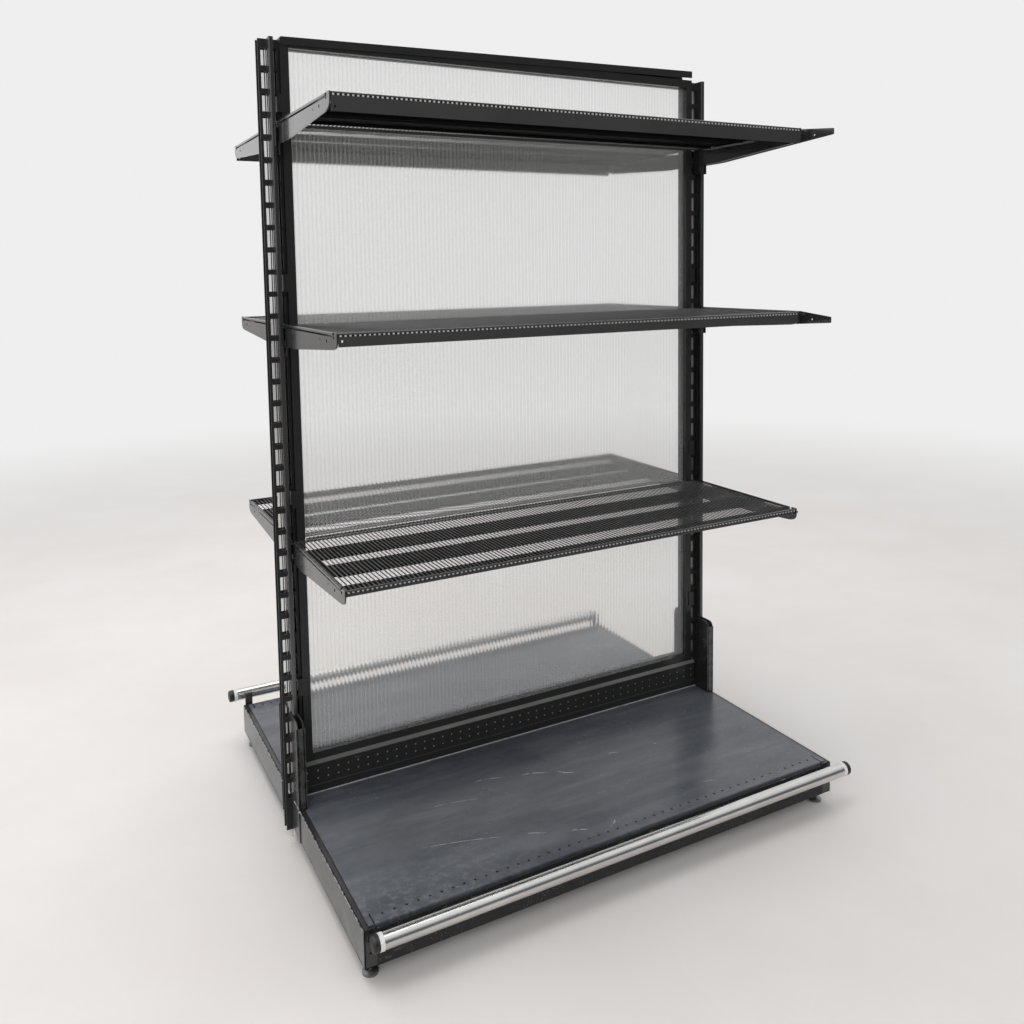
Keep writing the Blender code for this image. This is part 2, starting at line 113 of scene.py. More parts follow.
def perforated(xs, ss, holes, radius, curve, gone=None, arc=4):
    # Sheet over a grid of x and of s, the distance along its bent section curve(s) -> (y, z).
    # Cells marked in holes have a round hole: centre + radius * (cos a, sin a), joined to the cell's corners
    xs, ss = np.asarray(xs, float), np.asarray(ss, float)
    grid = np.stack(np.meshgrid(xs, ss, indexing="ij"), -1)
    index = np.arange(len(xs) * len(ss)).reshape(len(xs), len(ss))
    corner = np.stack((index[:-1, :-1], index[1:, :-1], index[1:, 1:], index[:-1, 1:]), -1)
    plain = ~holes if gone is None else ~(holes | gone)
    i, j = np.nonzero(holes)
    centre = np.stack(((xs[i] + xs[i + 1]) / 2, (ss[j] + ss[j + 1]) / 2), -1)
    angles = -0.75 * math.pi + np.arange(4 * arc) * math.pi / (2 * arc)
    rim = centre[:, None] + np.stack((np.cos(angles), np.sin(angles)), -1) * radius
    rimIndex = len(xs) * len(ss) + np.arange(rim.shape[0] * 4 * arc).reshape(-1, 4 * arc)
    cells = corner[i, j]
    sides = []
    for q in range(4):
        span = (np.arange((q + 1) * arc, q * arc - 1, -1)) % (4 * arc)
        sides.append(np.concatenate((cells[:, [q, (q + 1) % 4]], rimIndex[:, span]), 1))
    flat = np.concatenate((grid.reshape(-1, 2), rim.reshape(-1, 2)))
    y, z = curve(flat[:, 1])
    return np.stack((flat[:, 0], y, z), -1), [corner[plain]] + sides


def bent(corners):
    # Distance along a bent line of (y, z) corners, and the function that goes back from distance to (y, z)
    corners = np.asarray(corners, float)
    s = np.concatenate(((0,), np.cumsum(np.linalg.norm(np.diff(corners, axis=0), axis=1))))
    return s, lambda t: (np.interp(t, s, corners[:, 0]), np.interp(t, s, corners[:, 1]))


def slab(outline, holes, place, through):
    # Plate with holes: place(u, v) gives the points of its outline and hole rims, filled with triangles,
    # then a copy moved by the vector through, and quads that join the rings of both faces
    rings = [np.asarray(r, float) for r in [outline] + holes]
    front = np.array(tessellate_polygon([[Vector((u, v, 0)) for u, v in ring] for ring in rings]))
    flat = np.concatenate(rings)
    points = place(flat[:, 0], flat[:, 1])
    n = len(points)
    starts = np.cumsum([0] + [len(r) for r in rings])
    i = np.arange(n)
    j = np.concatenate([a + (np.arange(b - a) + 1) % (b - a) for a, b in zip(starts, starts[1:])])
    joined = np.stack((i, j, j + n, i + n), -1)
    return np.concatenate((points, points + through)), [front, front[:, ::-1] + n, joined]


def addPiece(name, parts, material, body, replaced=(), thick=0, bevel=0, smooth=0):
    # One mesh object at the origin from stacked (points, faces) parts, riding on a body; closed shapes face outward
    points, faces, base = [], [], 0
    for co, groups in parts:
        for group in groups:
            faces += (np.asarray(group) + base).tolist()
        points.append(co)
        base += len(co)
    mesh = bpy.data.meshes.new(name)
    mesh.from_pydata(np.concatenate(points), [], faces)
    mesh.validate()
    if not thick:
        work = bmesh.new()
        work.from_mesh(mesh)
        bmesh.ops.recalc_face_normals(work, faces=work.faces)
        work.to_mesh(mesh)
        work.free()
    obj = bpy.data.objects.new(name, mesh)
    bpy.context.scene.collection.objects.link(obj)
    mesh.materials.append(material)
    if thick:
        wall = obj.modifiers.new("wall", "SOLIDIFY")
        wall.thickness, wall.offset, wall.use_even_offset = thick, -1, True
    if bevel:
        edge = obj.modifiers.new("edge", "BEVEL")
        edge.width, edge.segments, edge.limit_method, edge.angle_limit = bevel, 2, "ANGLE", 0.6
    if smooth:
        mesh.shade_smooth()
        mesh.set_sharp_from_angle(angle=smooth)
    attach(obj, body)
    if replaced:
        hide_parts(*replaced)


# Materials

class Val:
    # A value in a material's node tree; + - * / on values add Math nodes
    def __init__(self, tree, socket):
        self.tree, self.socket = tree, socket

    def make(self, kind, settings=None, inputs=None, out=0):
        node = self.tree.nodes.new(kind)
        for key, value in (settings or {}).items():
            setattr(node, key, value)
        for key, value in (inputs or {}).items():
            if isinstance(value, Val):
                self.tree.links.new(value.socket, node.inputs[key])
            else:
                node.inputs[key].default_value = value
        return Val(self.tree, node.outputs[out])

    def math(self, operation, a, b=0.0):
        return self.make("ShaderNodeMath", {"operation": operation}, {0: a, 1: b})

    def __add__(self, o):
        return self.math("ADD", self, o)

    def __sub__(self, o):
        return self.math("SUBTRACT", self, o)

    def __rsub__(self, o):
        return self.math("SUBTRACT", o, self)

    def __mul__(self, o):
        return self.math("MULTIPLY", self, o)

    def __truediv__(self, o):
        return self.math("DIVIDE", self, o)

    __radd__, __rmul__ = __add__, __mul__

    def step(self, low, high):
        # 0 below low, 1 above high, smooth between
        kind = {"interpolation_type": "SMOOTHSTEP", "clamp": True}
        return self.make("ShaderNodeMapRange", kind, {"Value": self, "From Min": low, "From Max": high})

    def mix(self, a, b):
        # Colour a where this is 0, b where it is 1
        kind = {"data_type": "RGBA", "clamp_factor": True}
        colour = [v if isinstance(v, Val) else (*v, 1) for v in (a, b)]
        return self.make("ShaderNodeMix", kind, {0: self, 6: colour[0], 7: colour[1]}, 2)


def finish(name, constants):
    # New material: its Principled shader with the constants set, Object coordinates and their three parts
    mat = bpy.data.materials.new(name)
    mat.use_nodes = True
    tree = mat.node_tree
    shader = tree.nodes["Principled BSDF"]
    for key, value in constants.items():
        shader.inputs[key].default_value = value
    start = Val(tree, None)
    place = start.make("ShaderNodeTexCoord", out=3)
    parts = [start.make("ShaderNodeSeparateXYZ", {}, {0: place}, k) for k in range(3)]
    return mat, shader, place, parts


def link(shader, key, value):
    value.tree.links.new(value.socket, shader.inputs[key])


def noise(place, scale, detail=3.0, rough=0.55, stretch=(1, 1, 1), twist=0.0):
    # Fractal noise; stretch multiplies the coordinates first
    if stretch != (1, 1, 1):
        place = place.make("ShaderNodeMapping", {}, {"Vector": place, "Scale": stretch})
    values = {"Vector": place, "Scale": scale, "Detail": detail, "Roughness": rough, "Distortion": twist}
    return place.make("ShaderNodeTexNoise", {}, values)


def specks(place, scale, size):
    # Small round dots: 1 within size of a Voronoi cell's point
    found = place.make("ShaderNodeTexVoronoi", {}, {"Vector": place, "Scale": scale})
    return 1 - found.step(size * 0.6, size)


def bump(height, strength, distance):
    return height.make("ShaderNodeBump", {}, {"Height": height, "Strength": strength, "Distance": distance})


paintLook = {"base": (0.0180, 0.0180, 0.0185), "cloud": (0.0330, 0.0330, 0.0340), "dust": (0.055, 0.053, 0.050),
             "chip": (0.36, 0.35, 0.33), "peel": 0.07, "coatRough": 0.07, "coatFade": (1.25, 1.62)}


def blackPaint(name, chips=None, rough=0.22, coat=0.0, mirror=0.45, under=0.0, dustAndSheen=1.0, lowCoat=None, chip=None,
               lift=1.0):
    # Powder coat: orange-peel bump, hand marks in the gloss, dust on top faces, pale scuffs and chips; lift and
    # dustAndSheen multiply the black and the dust (strong dust is a painted sheen on top faces), under dulls faces
    # that look down, lowCoat is the coat below the fade
    look = paintLook
    shine = {"Specular IOR Level": mirror, "Coat Weight": coat, "Coat Roughness": look["coatRough"]}
    mat, shader, place, (x, y, z) = finish(name, shine)
    cloud = noise(place, 6.0, 4)
    smear = noise(place, 30.0, 3, stretch=(1, 1, 0.25))
    facing = place.make("ShaderNodeSeparateXYZ", {}, {0: place.make("ShaderNodeNewGeometry", out=1)}, 2)
    dust = facing.step(0.4, 0.9) * noise(place, 45.0, 5).step(0.38, 0.75)
    scuff = noise(place, 160.0, 2, stretch=(0.2, 1, 1)).step(0.71, 0.76) * cloud.step(0.52, 0.68)
    colour = (cloud * 0.9).mix([c * lift for c in look["base"]], [c * lift for c in look["cloud"]])
    colour = (dust * 0.6).mix(colour, [c * dustAndSheen for c in look["dust"]])
    colour = (scuff * 0.40).mix(colour, look["chip"])
    if chips:
        worn = chips(place, x, y, z)
        colour = worn.mix(colour, chip or look["chip"])
        scuff = scuff + worn
    link(shader, "Base Color", colour)
    if lowCoat is not None:
        link(shader, "Coat Weight", z.step(*look["coatFade"]) * (coat - lowCoat) + lowCoat)
    dull = (1 - facing.step(-0.35, 0.05)) * under
    link(shader, "Roughness", cloud * 0.10 + smear * 0.12 + dust * 0.25 + scuff * 0.2 + dull + (rough - 0.09))
    link(shader, "Normal", bump(noise(place, 900.0, 2), look["peel"], 0.0006))
    return mat


plateWear = {"outer": (0.6082, 0.6100), "edge": (0.1052, 0.1064), "top": (0.1095, 0.1100),
             "armTop": (0.3168, 0.3180), "armFront": (0.0779, 0.0786)}


def plateChips(place, x, y, z):
    # Paint rubbed off in a thin line along the outer top edge of the base side plates, a few specks of grit, the
    # outer face paler towards the bottom, and a faint painted highlight round the edge of the arms
    w = plateWear
    outer = x.math("ABSOLUTE", x).step(*w["outer"])
    edge = outer * z.step(*w["edge"]) * (1 - z.step(*w["top"]))
    torn = noise(place, 90.0, 4).step(0.40, 0.54)
    grit = specks(place, 260.0, 0.15) * noise(place, 14.0).step(0.54, 0.64) * (1 - z.step(0.10, 0.11))
    # outer face painted paler towards the bottom
    paleLow = outer * noise(place, 22.0, 5, 0.65).step(0.25, 0.75) * (1 - z.step(0.045, 0.104))
    # painted highlight along the top and front edges of the arms
    rim = z.step(*w["armTop"]) + y.math("ABSOLUTE", y).step(*w["armFront"]) * z.step(0.11, 0.12)
    paintedGlint = rim * noise(place, 60.0, 3).step(0.35, 0.6)
    return edge * torn * 0.90 + grit * 0.18 + paleLow * 0.13 + paintedGlint * 0.05


def foldReflection(place, x, y, z):
    # Painted reflection on the web of the uprights between the slotted strips: that band is painted pale grey
    return (1 - y.math("ABSOLUTE", y).step(0.0058, 0.0066)) * (noise(place, 50.0, 3) * 0.3 + 0.40)


def shoulderPale(place, x, y, z):
    # Sloped shoulder of the plinth painted paler, with streaky variation
    return z.step(0.1814, 0.1824) * (noise(place, 30.0, 4, stretch=(0.3, 1, 1)) * 0.35 + 0.22)


def kickScuffs(place, x, y, z):
    # Pale knocks from shoes and brooms, in a streaky belt along the kick plate
    belt = noise(place, 70.0, 4, stretch=(0.35, 1, 1.3)).step(0.60, 0.70) * noise(place, 9.0).step(0.45, 0.6)
    dots = specks(place, 190.0, 0.19) * noise(place, 16.0).step(0.42, 0.58)
    knocks = belt * 0.4 + dots * 0.7
    return knocks.math("MINIMUM", knocks, 0.7)


# Each scratch: begin, end, bow, width, depth
deckLook = {"dark": (0.054, 0.060, 0.071), "grey": (0.130, 0.138, 0.156), "pale": (0.225, 0.235, 0.255),
            # paintedGlint: distances behind the rear edge over which the painted highlight fades out
            "chip": (0.66, 0.66, 0.65), "paintedGlint": (0.0008, 0.0016),
            "scratches": [((-0.212, -0.170), (-0.135, -0.188), 0.004, 0.0016, 0.6),
                          ((-0.098, -0.199), (-0.031, -0.223), 0.004, 0.0018, 0.8),
                          ((-0.010, -0.226), (0.029, -0.253), -0.005, 0.0016, 0.9),
                          ((-0.430, -0.345), (-0.234, -0.403), 0.006, 0.0011, 0.6),
                          ((-0.203, -0.410), (-0.155, -0.434), 0.002, 0.0012, 0.8),
                          ((-0.108, -0.449), (-0.069, -0.467), 0.001, 0.0013, 0.9),
                          ((0.146, -0.221), (0.174, -0.229), 0.002, 0.0018, 0.9),
                          ((0.277, -0.237), (0.296, -0.248), 0.001, 0.0018, 0.9),
                          ((-0.027, -0.483), (0.004, -0.462), -0.003, 0.0016, 0.7),
                          ((-0.433, -0.495), (-0.384, -0.508), 0.005, 0.0020, 0.5),
                          ((-0.363, -0.215), (-0.216, -0.245), 0.006, 0.0028, 0.25),
                          ((0.268, -0.443), (0.309, -0.455), 0.003, 0.0030, 0.22)]}


def scratch(x, y, begin, end, bow, width, depth):
    # Bowed line on the deck: t along and s across from begin to end, 1 where |s - 4 bow t (1 - t)| < width
    dx, dy = end[0] - begin[0], end[1] - begin[1]
    span = math.hypot(dx, dy)
    px, py = x - begin[0], y - begin[1]
    t = (px * dx + py * dy) / (span * span)
    s = (py * dx - px * dy) / span - t * (1 - t) * (4 * bow)
    line = 1 - s.math("ABSOLUTE", s).step(width * 0.3, width * 1.1)
    return line * t.step(0, 0.25) * (1 - t.step(0.75, 1)) * depth


def wornDeck(name):
    # Worn satin steel sheet: smoky veils left by wiping, fine mottling, scratches, specks, a painted highlight along
    # the rear edge
    look = deckLook
    mat, shader, place, (x, y, _) = finish(name, {"Specular IOR Level": 0.45})
    depth = y.math("ABSOLUTE", y)
    stain = noise(place, 3.4, 5, 0.6, twist=0.3)
    smoke = noise(place, 6.0, 6, 0.60, stretch=(0.50, 1.6, 1), twist=0.3)
    wisp = noise(place, 11.0, 5, 0.60, stretch=(0.28, 2.0, 1), twist=0.4)
    mottle = noise(place, 60.0, 6, 0.7)
    grain = noise(place, 420.0, 3, 0.6)
    fleck = specks(place, 75.0, 0.09) * noise(place, 5.0).step(0.45, 0.6)
    paintedGlint = [bay["deckRear"] + r for r in look["paintedGlint"]]
    # pale line along the rear edge: painted highlight
    edge = (1 - depth.step(*paintedGlint)) * noise(place, 60.0, 4).step(0.25, 0.45)
    tone = (stain * 0.55 + smoke * 0.60 + mottle * 0.24 + grain * 0.16).step(0.48, 1.05)
    colour = tone.mix(look["dark"], look["grey"])
    colour = (wisp.step(0.36, 0.78) * smoke.step(0.30, 0.72) * 0.60).mix(colour, look["pale"])
    worn = depth.step(0.34, 0.47) * (1 - x.step(-0.42, -0.12)) * mottle.step(0.46, 0.64)
    colour = (worn * 0.40).mix(colour, look["pale"])
    marks = sum([scratch(x, y, *s) for s in look["scratches"]], 0.0)
    marks = marks * noise(place, 70.0, 4).step(0.36, 0.54) + fleck * 0.7
    colour = marks.mix(colour, look["chip"])
    colour = (edge * 0.6).mix(colour, look["chip"])
    link(shader, "Base Color", colour)
    link(shader, "Roughness", smoke * 0.10 + mottle * 0.04 + stain * 0.06 + 0.145)
    link(shader, "Normal", bump(grain * 0.3 + stain * 1.5, 0.08, 0.0008))
    return mat


steelLook = {"dark": (0.52, 0.52, 0.52), "bright": (0.74, 0.735, 0.72), "darkSpeck": (0.22, 0.21, 0.20)}


def polishedSteel(name, dull=0.16, tone=1.0):
    # Bare steel: fine streaks along X, soft clouds in the gloss, a few small dark specks; tone multiplies the greys
    look = steelLook
    mat, shader, place, _ = finish(name, {"Metallic": 1.0})
    streak = noise(place, 60.0, 4, 0.6, stretch=(0.06, 6.0, 6.0))
    cloud = noise(place, 14.0, 4)
    mark = specks(place, 85.0, 0.09) * cloud.step(0.5, 0.6)
    grey = (streak * 0.6 + cloud * 0.5).step(0.3, 0.85)
    colour = grey.mix([c * tone for c in look["dark"]], [c * tone for c in look["bright"]])
    link(shader, "Base Color", (mark * 0.5).mix(colour, look["darkSpeck"]))
    link(shader, "Roughness", streak * 0.14 + cloud * 0.10 + (dull - 0.06))
    link(shader, "Normal", bump(streak, 0.05, 0.0006))
    return mat


def plastic(name, colour, dirt, rough):
    # Moulded plastic, and the pale tips of the wires, painted pale as a highlight: fine grain, grime in the clouds
    mat, shader, place, _ = finish(name, {})
    cloud = noise(place, 40.0, 5, 0.6)
    link(shader, "Base Color", (cloud.step(0.45, 0.8) * 0.6).mix(colour, dirt))
    link(shader, "Roughness", cloud * 0.2 + (rough - 0.1))
    link(shader, "Normal", bump(noise(place, 700.0, 2), 0.12, 0.0005))
    return mat


# through: strength of the painted glow of the matt white
panelLook = {"pitch": 0.0104, "shift": 2.0, "swell": 0.0002, "halfX": 0.5674, "z0": 0.2003, "z1": 1.8557,
             "halfT": 0.005, "samples": 10, "tint": (0.93, 0.935, 0.93), "web": (0.74, 0.745, 0.74),
             "grubby": (0.88, 0.865, 0.84), "haze": 0.11, "veil": (0.008, 0.15), "through": 0.30}


def twinWall(name):
    # Clear ribbed sheet: see-through, mixed with a matt white that is stronger along each upright web; the matt white
    # glows, a painted glow for light scattered through from behind
    look = panelLook
    mat, shader, place, (x, _, _) = finish(name, {"IOR": 1.25, "Transmission Weight": 0.90})
    rib = (x + look["shift"]) / look["pitch"]
    rib = rib.math("FRACT", rib) - 0.5
    web = rib.math("ABSOLUTE", rib).step(0.36, 0.49)
    cloud = noise(place, 3.0, 4)
    tint = web.mix(look["tint"], look["web"])
    link(shader, "Base Color", (cloud.step(0.45, 0.8) * 0.3).mix(tint, look["grubby"]))
    link(shader, "Roughness", cloud * 0.04 + (look["haze"] - 0.02))
    # emission on the matt white: painted light that stands in for light scattered through the sheet
    white = {"Base Color": (0.86, 0.85, 0.84, 1), "Roughness": 0.5, "Emission Color": (1, 0.98, 0.96, 1),
             "Emission Strength": look["through"]}
    matt = place.make("ShaderNodeBsdfPrincipled", {}, white)
    veil = web * look["veil"][1] + look["veil"][0]
    both = place.make("ShaderNodeMixShader", {}, {0: veil, 1: Val(mat.node_tree, shader.outputs[0]), 2: matt})
    mat.node_tree.links.new(both.socket, mat.node_tree.nodes["Material Output"].inputs[0])
    return mat


paint = blackPaint("blackPaint", coat=0.12, mirror=0.22)
# postPaint: foldReflection paints the web between the strips pale grey, a painted reflection
postPaint = blackPaint("postPaint", foldReflection, 0.11, 1.0)
stripPaint = blackPaint("stripPaint", rough=0.26, coat=0.10, mirror=0.20)
armPaint = blackPaint("armPaint", rough=0.16, coat=1.0, lowCoat=0.30)
rodPaint = blackPaint("rodPaint", rough=0.20, coat=0.9)
plinthPaint = blackPaint("plinthPaint", shoulderPale, 0.30, 0.10, 0.22)
# wirePaint: dust six times as strong, so the tops of the wires are painted light grey: dust and a painted sheen
wirePaint = blackPaint("wirePaint", rough=0.32, coat=0.0, mirror=0.42, under=0.6, dustAndSheen=6.0, lift=1.6)
# the black of the bands lowered to 0.3 times: painted shade, for they lie under the wires
shadedBandPaint = blackPaint("shadedBandPaint", rough=0.60, coat=0.0, mirror=0.02, dustAndSheen=0.4, lift=0.3)
platePaint = blackPaint("platePaint", plateChips, 0.26, 0.25, dustAndSheen=0.5, chip=(0.78, 0.77, 0.75))
kickPaint = blackPaint("kickPaint", kickScuffs, 0.42, 0.0, 0.20)
deckPaint = wornDeck("deckPaint")
tubeSteel = polishedSteel("tubeSteel")
footZinc = polishedSteel("footZinc", 0.42, 0.38)
capPlastic = plastic("capPlastic", (0.012, 0.012, 0.013), (0.05, 0.048, 0.045), 0.42)
ringPlastic = plastic("ringPlastic", (0.80, 0.80, 0.79), (0.62, 0.60, 0.57), 0.35)
tipHighlight = plastic("tipHighlight", (0.50, 0.50, 0.49), (0.28, 0.28, 0.27), 0.40)
padPlastic = plastic("padPlastic", (0.72, 0.70, 0.66), (0.42, 0.37, 0.31), 0.55)
sheetClear = twinWall("sheetClear")
print("materials made")


# Wire shelves

deck = {"half": 0.5945, "wires": 122, "wire": 0.0014, "rear": 0.0020, "corner": 0.0150, "stileX": 0.5560,
        "reach": 0.4100, "drop": 0.0005, "rod": 0.0025, "rodGap": 0.001, "rearRods": (0.003, 0.022), "bend": 0.005,
        "lip": {"top": 0.037, "middle": 0.027, "low": 0.0145}, "wireEnd": 0.004, "strip": 0.0022,
        "gap": {"top": 0.0026, "middle": 0.0022, "low": 0.0015}, "stripBack": 0.0004, "round": 0.0006,
        "eye": {"top": 0.0285, "middle": 0.0160}, "eyeR": 0.0028, "eyeIn": 0.0070,
        "tray": 0.040, "trayT": 0.002, "trayIn": 0.006, "trayDrop": 0.0002,
        "tip": (0.0042, 0.0024), "tipRound": 0.0008, "tipDrop": 0.0002,
        "backing": 0.0010, "backingIn": 0.0046, "backingRound": 0.0003, "lap": 0.0008,
        "endH": 0.0055, "endT": 0.0040, "endFront": 0.3855}


def wireDeck(side, level):
    # Wires front to back, bent down at the front, their flattened tips below the front rod painted pale as a
    # highlight;
    # rods along both edges; a strip hung below the tips, a backing behind them; a tray under the front of the low
    # deck
    d, f = deck, fronts[side]
    body = f"shelf_{side}_{level}"
    top = bay["shelfTop"][level] - d["drop"]
    lip, gap = d["lip"][level], d["gap"][level]
    end = d["half"] - d["endT"]
    pitch = 2 * end / d["wires"]
    xs = (np.arange(d["wires"]) - (d["wires"] - 1) / 2) * pitch

    def at(u):
        return f * (bay["stripFace"] + u)

    def along(half, u, z, outline):
        # Bar along X, u out from the upright
        return bars([(-half, at(u), z)], [(half, at(u), z)], outline, (0, 1, 0))

    turn = np.linspace(0, math.pi / 2, 4)
    front = d["reach"] - d["wire"] - d["bend"]
    rear = np.where(np.abs(xs) < d["stileX"], d["rear"], d["corner"])[:, None]
    bendU = np.concatenate((front + d["bend"] * np.sin(turn), (front + d["bend"],)))
    u = np.concatenate((rear, np.broadcast_to(bendU, (len(xs), 5))), 1)
    v = np.concatenate(((0,), d["bend"] * (np.cos(turn) - 1))) - d["wire"] - d["rod"]
    v = np.concatenate((v, (d["wireEnd"] - lip,)))
    paths = np.stack(np.broadcast_arrays(xs[:, None], at(u), top + v[None]), -1)
    parts = [carry(paths, circle(d["wire"], 6), (1, 0, 0))]
    under = top - d["rod"] - 2 * d["wire"] - d["rodGap"]
    for half, back in zip((d["stileX"], end), d["rearRods"]):
        parts.append(along(half, d["rear"] + back, under, circle(d["rod"], 10)))
    frontRod = along(end, d["reach"] - d["rod"], top - d["rod"], circle(d["rod"], 12))
    addPiece(f"front_rod_{side}_{level}", [frontRod], rodPaint, body, smooth=0.7)
    low, high = top - lip, top - 2 * d["rod"] - gap
    if level == "low":
        back = 2 * d["wire"] + d["strip"] / 2 + d["stripBack"]
        section = roundedBar(d["strip"], high - low, d["round"])
        parts.append(along(end, d["reach"] - back, (low + high) / 2, section))
        section = roundedBar(d["tray"], d["trayT"], d["round"])
        tray = along(end, d["reach"] - d["trayIn"] - d["tray"] / 2, under - d["trayDrop"], section)
        addPiece(f"front_tray_{side}", [tray], shadedBandPaint, body, smooth=0.7)
    else:
        edge = [(-end, low), (end, low), (end, high), (-end, high)]
        eyes = [circle(d["eyeR"], 12) + (x * (end - d["eyeIn"]), top - d["eye"][level]) for x in (-1, 1)]
        parts.append(slab(edge, eyes, lambda u, v: np.stack((u, np.full_like(u, at(d["reach"])), v), -1),
                          (0, -f * d["strip"], 0)))
    section = roundedBar(d["backing"], gap + 2 * d["lap"], d["backingRound"])
    parts.append(along(end, d["reach"] - d["backingIn"], high + gap / 2, section))
    y, low, high = at(d["reach"] - d["tip"][1] / 2), high - d["tipDrop"], high + gap + d["lap"]
    section = roundedBar(*d["tip"], d["tipRound"])
    tips = bars([(x, y, low) for x in xs], [(x, y, high) for x in xs], section, (1, 0, 0))
    # pale tips: painted highlight on the front ends of the wires
    addPiece(f"wire_tips_{side}_{level}", [tips], tipHighlight, body, smooth=0.7)
    addPiece(f"wires_{side}_{level}", parts, wirePaint, body, [f"deck_{side}_{level}"], smooth=0.7)
    x, z = d["half"] - d["endT"] / 2, top - d["endH"] / 2
    starts, stops = [[(s * x, at(d[key]), z) for s in (-1, 1)] for key in ("corner", "endFront")]
    ends = bars(starts, stops, roundedBar(d["endT"], d["endH"], d["round"]), (1, 0, 0))
    addPiece(f"deck_ends_{side}_{level}", [ends], armPaint, body, smooth=0.7)


folds = {"half": 0.5725, "thick": 0.0012, "round": 0.0004, "under": 0.0076, "wallSide": (0.1088, 0.2358),
         "outSide": (0.1817, 0.3088), "deep": 0.0070, "shallow": 0.0030,
         "outer": {"top": 0.0120, "middle": 0.0030, "low": 0.0030}}


def bandFolds(side, level):
    # Edges of the two bands folded down: deep on the side of the wall, shallow on the outer side, where the front
    # band of the top shelf is deepest
    d, f = folds, fronts[side]
    edges = [(y, 1, d["deep"]) for y in d["wallSide"]]
    edges += [(y, -1, tall) for y, tall in zip(d["outSide"], (d["shallow"], d["outer"][level]))]
    parts = []
    for y, inward, tall in edges:
        y, z = f * (y + inward * d["thick"] / 2), bay["shelfTop"][level] - d["under"] - tall / 2
        section = roundedBar(d["thick"], tall, d["round"])
        parts.append(bars([(-d["half"], y, z)], [(d["half"], y, z)], section, (0, 1, 0)))
    addPiece(f"band_folds_{side}_{level}", parts, shadedBandPaint, f"shelf_{side}_{level}", smooth=0.7)


# horn: points of the front end as (back from the reach, height)
arm = {"out": 0.594, "thick": 0.003, "step": 0.0092, "notch": (0.3865, 0.3935), "notchLow": 0.0125, "cut": 0.0012,
       "horn": [(0.0015, 0), (0, -0.0015), (0, -0.0170), (0.0009, -0.0215), (0.0032, -0.0258), (0.0070, -0.0292),
                (0.0130, -0.0318), (0.0240, -0.0340)],
       "rearH": 0.052, "belly": [(0.112, 0.0006), (0.094, 0)], "heel": (0.032, 0.075),
       "hole": (0.344, -0.0190, 0.0034), "hole2": (0.300, -0.0185, 0.0022),
       "hook": {"back": -0.0063, "behind": -0.0028, "seat": -0.0267, "drop": 0.010, "tall": 0.018},
       "lug": {"below": 0.042, "tall": 0.014}, "ledge": (0.060, 0.365, 0.012, -0.0106), "ledgeT": 0.0025,
       "ledgeRound": 0.0006, "weld": 0.0004, "clear": 0.0003, "bevel": 0.0005}


def armOutline(top, tip):
    # Side outline (u out from the upright, v up from the shelf top): top edge, front horn or tip, underside, hooks
    a, h = arm, arm["hook"]
    clear, back, behind, seat = a["clear"], h["back"], h["behind"], h["seat"]
    heelU, heelV = a["heel"]
    lug = seat - a["lug"]["below"]
    lugTop, hookLow, hookTop = lug + a["lug"]["tall"], seat - h["drop"], seat + h["tall"]
    hooks = [(heelU, -a["rearH"]), (heelU, -heelV), (clear, -heelV), (clear, lug), (back, lug), (back, lugTop),
             (clear, lugTop), (clear, seat), (behind, seat), (behind, hookLow), (back, hookLow), (back, hookTop),
             (clear, hookTop)]
    belly = [(u, v - a["rearH"]) for u, v in a["belly"]]
    return [(clear, top)] + tip + belly + hooks


def shelfArm(side, level, hand):
    # Plate with a notch behind its front horn, where the deck's end strip stops, and a ledge under the deck
    a, f, s = arm, fronts[side], hands[hand]
    top = bay["shelfTop"][level]
    n0, n1 = a["notch"]
    notch = [(n0, -a["step"]), (n0, -a["notchLow"]), (n1, -a["notchLow"]), (n1, -a["cut"]), (n1 + a["cut"], 0)]
    horn = [(deck["reach"] - back, v) for back, v in a["horn"]]
    holes = [circle(r, 12) + (u, v) for u, v, r in (a["hole"], a["hole2"])]

    def place(u, v):
        return np.stack((np.full_like(u, s * a["out"]), f * (bay["stripFace"] + u), top + v), -1)

    u0, u1, w, v = a["ledge"]
    x = s * (a["out"] - a["thick"] - w / 2 + a["weld"])
    ledge = bars([(x, f * (bay["stripFace"] + u0), top + v)], [(x, f * (bay["stripFace"] + u1), top + v)],
                 roundedBar(w, a["ledgeT"], a["ledgeRound"]), (1, 0, 0))
    plate = slab(armOutline(-a["step"], notch + horn), holes, place, (-s * a["thick"], 0, 0))
    addPiece(f"bracket_{side}_{level}_{hand}", [plate, ledge], armPaint, f"arms_{side}_{level}",
             [f"arm_{side}_{level}_{hand}"], bevel=a["bevel"])


# tip and hole: points as (back from the reach, height), then the hole's radius
spare = {"out": 0.611, "thick": 0.003, "reach": 0.495, "hole": (0.060, -0.0195, 0.0024),
         "tip": [(0.100, 0), (0.0012, -0.0108), (0, -0.0120), (0, -0.0245), (0.0012, -0.0258), (0.014, -0.0268)]}


def spareArm(level):
    # Longer, slimmer arm left on the outer slots, its top falling towards a blunt tip
    top, r = bay["shelfTop"][level], spare["reach"]
    tip = [(r - back, v) for back, v in spare["tip"]]
    back, v, radius = spare["hole"]
    holes = [circle(radius, 12) + (r - back, v)]

    def place(u, v):
        return np.stack((np.full_like(u, spare["out"]), -(bay["stripFace"] + u), top + v), -1)

    plate = slab(armOutline(0, tip), holes, place, (spare["thick"], 0, 0))
    addPiece(f"spare_bracket_{level}", [plate], armPaint, f"spare_arm_{level}", [f"spare_arm_{level}"],
             bevel=arm["bevel"])


pin = {"u": 0.4015, "v": -0.0125, "from": 0.5936, "to": 0.6050, "radius": 0.0032, "cut": 0.0012}


